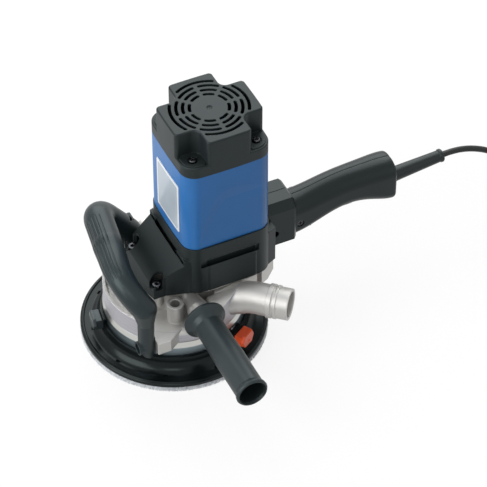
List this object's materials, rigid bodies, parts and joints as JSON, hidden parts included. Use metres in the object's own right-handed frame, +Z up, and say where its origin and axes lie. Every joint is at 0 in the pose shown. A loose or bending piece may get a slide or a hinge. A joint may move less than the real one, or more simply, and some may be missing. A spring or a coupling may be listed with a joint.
{
  "type": "renovation grinder",
  "caption": "Upright-motor surface grinder with a cup wheel under a cast dust hood, a floating brush skirt, a front bail, a side handle, a rear switch handle and a dust spigot.",
  "frame": {"origin": "on the spindle axis, in the plane of the brush tips that the grinder stands on", "axes": "+Z up along the spindle, +X back towards the rear handle, -Y the side of the side handle and the dust spigot"},
  "size_m": [0.636, 0.283, 0.28],
  "materials": {
    "blue_plastic": "glass-filled nylon, moulded, light sheen",
    "black_plastic": "glass-filled nylon, fine spark texture",
    "orange_plastic": "moulded nylon",
    "white_plate": "plain label plate, left bare",
    "cast_aluminium": "die cast, blasted",
    "zinc_steel": "turned and zinc plated",
    "black_steel": "black oxide",
    "bright_steel": "ground",
    "core_steel": "stamped laminations",
    "copper": "enamelled copper wire and copper bars",
    "carbon": "pressed carbon",
    "wheel_enamel": "dark enamel on steel",
    "diamond_bond": "sintered metal bond with diamond grit",
    "black_rubber": "moulded rubber",
    "cord_rubber": "drawn rubber sheath",
    "grey_nylon": "nylon bristles",
    "pin_brass": "nickel-plated brass"
  },
  "bodies": {
    "tool": {"motor_housing": "blue_plastic", "motor_cap": "black_plastic", "cap_screws": "black_steel", "badge_plate": "white_plate", "stator_core": "core_steel", "field_coils": "copper", "brush_holders": "black_plastic", "carbon_brushes": "carbon", "upper_motor_bearing": "bright_steel", "lower_motor_bearing": "bright_steel", "upper_spindle_bearing": "bright_steel", "lower_spindle_bearing": "bright_steel", "bearing_retainer": "zinc_steel", "spindle_seal": "black_rubber", "fan_housing": "black_plastic", "nose_screws": "black_steel", "bearing_plate": "cast_aluminium", "gear_case": "cast_aluminium", "hood_screws": "black_steel", "dust_hood": "cast_aluminium", "steel_collar": "zinc_steel", "float_springs": "zinc_steel", "bail_handle": "black_plastic", "bail_bolts": "black_steel", "side_grip": "black_plastic", "side_stud": "bright_steel", "handle_shell_near": "black_plastic", "handle_shell_far": "black_plastic", "handle_screws": "black_steel", "trigger_pin": "bright_steel", "switch_block": "black_plastic", "cord_clamp": "black_plastic", "cord_sleeve": "black_rubber", "cord_lead": "cord_rubber", "cord_coil": "cord_rubber", "coil_tie": "cord_rubber", "cord_tail": "cord_rubber", "mains_plug": "black_plastic", "plug_pins": "pin_brass"},
    "spindle_unit": {"spindle": "bright_steel", "drive_gear": "bright_steel", "wheel_flange": "bright_steel", "cup_wheel": "wheel_enamel", "diamond_segments": "diamond_bond", "clamp_nut": "bright_steel"},
    "armature": {"armature_shaft": "bright_steel", "armature_core": "core_steel", "armature_windings": "copper", "commutator": "copper", "cooling_fan": "black_plastic", "drive_pinion": "bright_steel"},
    "skirt": {"skirt_dish": "black_rubber", "brush_strip_1": "grey_nylon", "brush_strip_2": "grey_nylon", "brush_strip_3": "grey_nylon", "brush_strip_4": "grey_nylon", "brush_strip_5": "grey_nylon"},
    "trigger_lever": {"trigger": "black_plastic"},
    "front_latch": {"front_catch": "black_plastic"},
    "side_latch": {"side_catch": "orange_plastic"}
  },
  "joints": [
    {"name": "spindle_spin", "type": "hinge", "parent": "tool", "child": "spindle_unit", "pos_m": [0, 0, 0.05], "axis": [0, 0, 1], "continuous": true},
    {"name": "armature_spin", "type": "hinge", "parent": "tool", "child": "armature", "pos_m": [0.043, 0, 0.15], "axis": [0, 0, 1], "continuous": true},
    {"name": "trigger_pull", "type": "hinge", "parent": "tool", "child": "trigger_lever", "pos_m": [0.164, 0, 0.1045], "axis": [0, -1, 0], "range_deg": [0, 7], "stiffness_Nm_per_rad": 0.3, "springref_deg": -11.46},
    {"name": "skirt_float", "type": "slide", "parent": "tool", "child": "skirt", "axis": [0, 0, 1], "range_m": [0, 0.004], "stiffness_N_per_m": 5000, "springref_m": -0.025, "deforming": ["float_springs"]},
    {"name": "front_catch_pull", "type": "slide", "parent": "skirt", "child": "front_latch", "axis": [-0.9877, 0.1564, 0], "range_m": [0, 0.003], "stiffness_N_per_m": 800, "springref_m": -0.005},
    {"name": "side_catch_pull", "type": "slide", "parent": "skirt", "child": "side_latch", "axis": [0.515, -0.8572, 0], "range_m": [0, 0.003], "stiffness_N_per_m": 800, "springref_m": -0.005}
  ],
  "couplings": [
    {"joint": "armature_spin", "follows": "spindle_spin", "ratio": -3.3}
  ]
}
